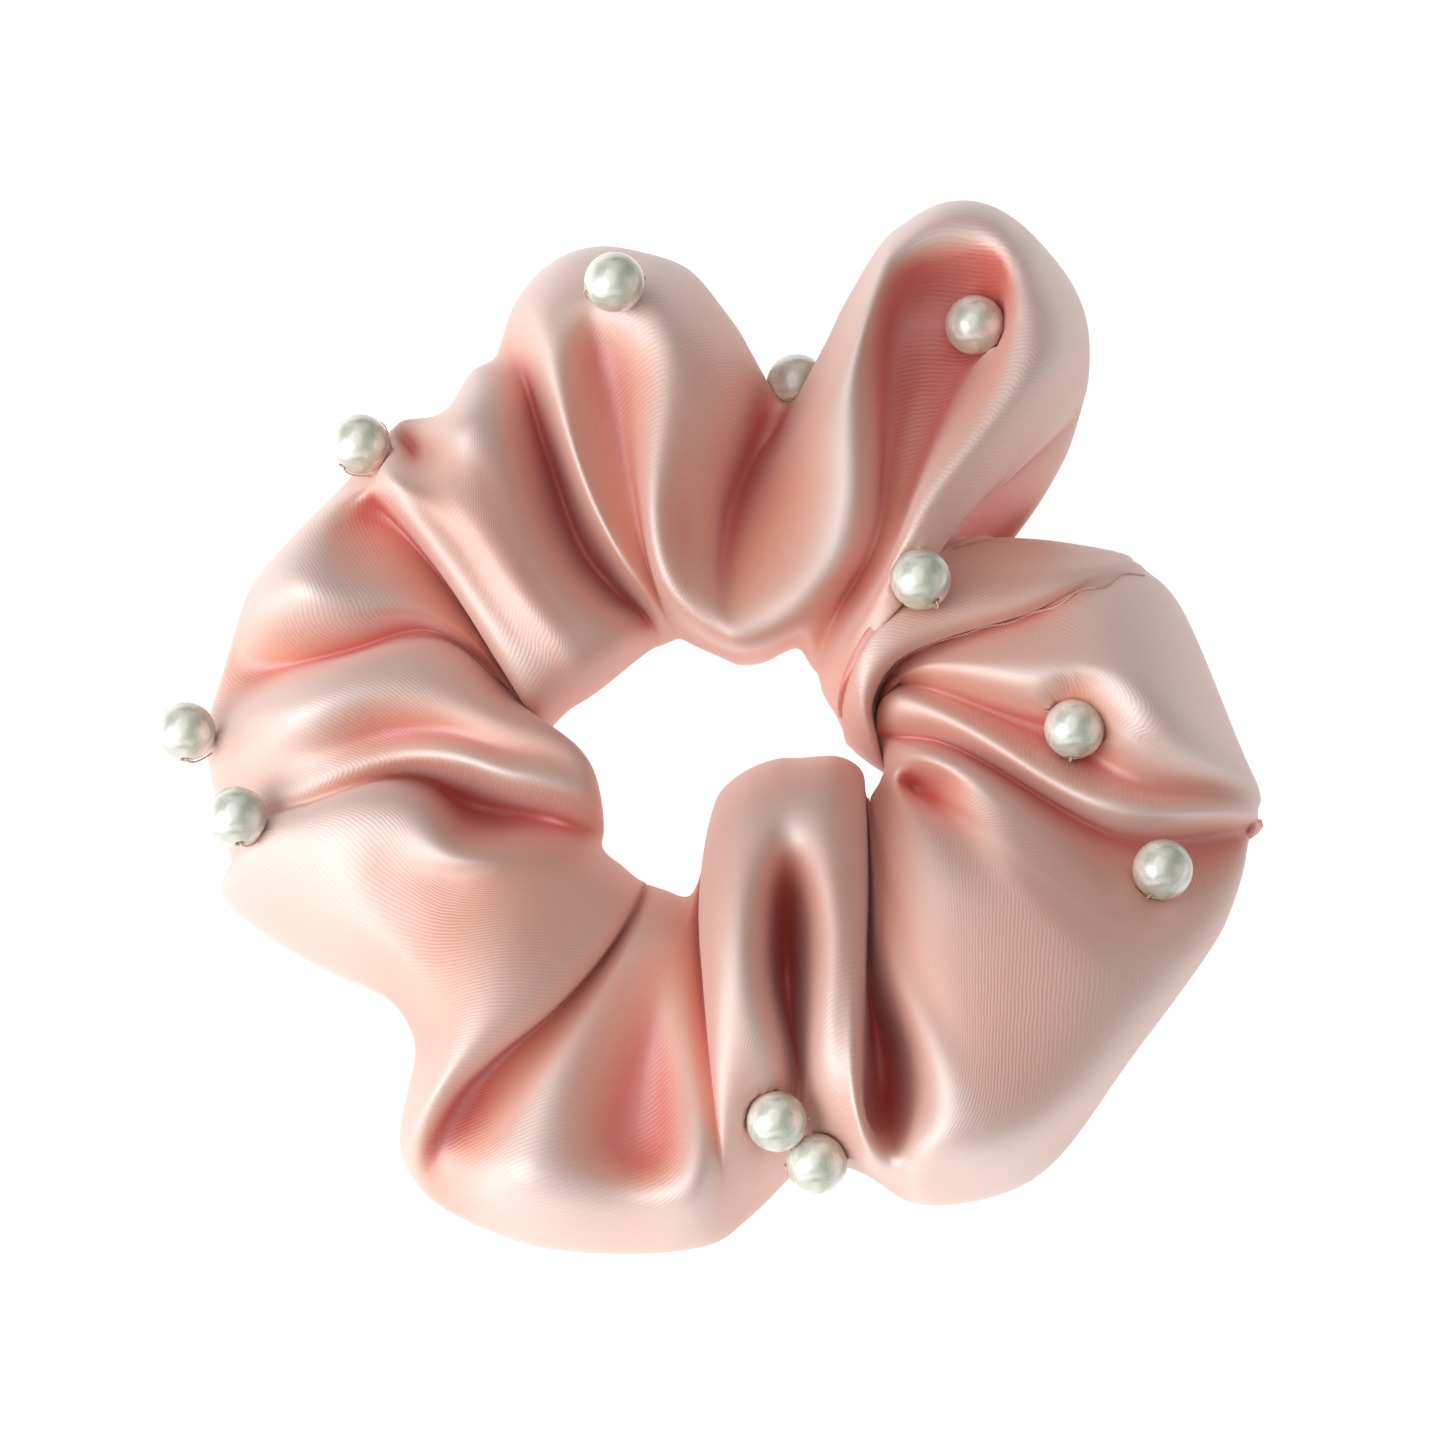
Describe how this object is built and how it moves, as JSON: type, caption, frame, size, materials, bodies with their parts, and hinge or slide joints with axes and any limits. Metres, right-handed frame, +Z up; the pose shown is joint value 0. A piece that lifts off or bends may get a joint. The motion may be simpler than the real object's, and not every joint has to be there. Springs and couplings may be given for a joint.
{
  "type": "scrunchie",
  "caption": "Gathered satin hair scrunchie with sewn-on pearl beads over a flat elastic loop that stretches open sideways.",
  "frame": {"origin": "on the table under the middle of the scrunchie's outline", "axes": "+Z up through the hair opening, the way it lies flat; +X towards the pulled side, to a viewer's right; +Y away from the viewer"},
  "size_m": [0.1112, 0.1106, 0.0359],
  "materials": {
    "satin": "pink satin, soft sheen",
    "elastic": "knitted elastic tape, matte",
    "pearl": "pearlescent white coating, glossy",
    "sewing_thread": "polyester sewing thread, matching pink"
  },
  "bodies": {
    "held_side": {"sleeve_left": "satin", "elastic_left": "elastic", "elastic_lap_stitch": "sewing_thread", "pearl_01": "pearl", "pearl_thread_01": "sewing_thread", "pearl_08": "pearl", "pearl_thread_08": "sewing_thread", "pearl_09": "pearl", "pearl_thread_09": "sewing_thread", "pearl_10": "pearl", "pearl_thread_10": "sewing_thread", "pearl_13": "pearl", "pearl_thread_13": "sewing_thread"},
    "pulled_side": {"sleeve_right": "satin", "elastic_right": "elastic", "closing_stitch": "sewing_thread", "pearl_02": "pearl", "pearl_thread_02": "sewing_thread", "pearl_03": "pearl", "pearl_thread_03": "sewing_thread", "pearl_04": "pearl", "pearl_thread_04": "sewing_thread", "pearl_05": "pearl", "pearl_thread_05": "sewing_thread", "pearl_06": "pearl", "pearl_thread_06": "sewing_thread", "pearl_07": "pearl", "pearl_thread_07": "sewing_thread", "pearl_11": "pearl", "pearl_thread_11": "sewing_thread", "pearl_12": "pearl", "pearl_thread_12": "sewing_thread", "pearl_14": "pearl", "pearl_thread_14": "sewing_thread"}
  },
  "joints": [
    {"name": "stretch", "type": "slide", "parent": "held_side", "child": "pulled_side", "axis": [1, 0, 0], "range_m": [0, 0.09], "stiffness_N_per_m": 40}
  ]
}
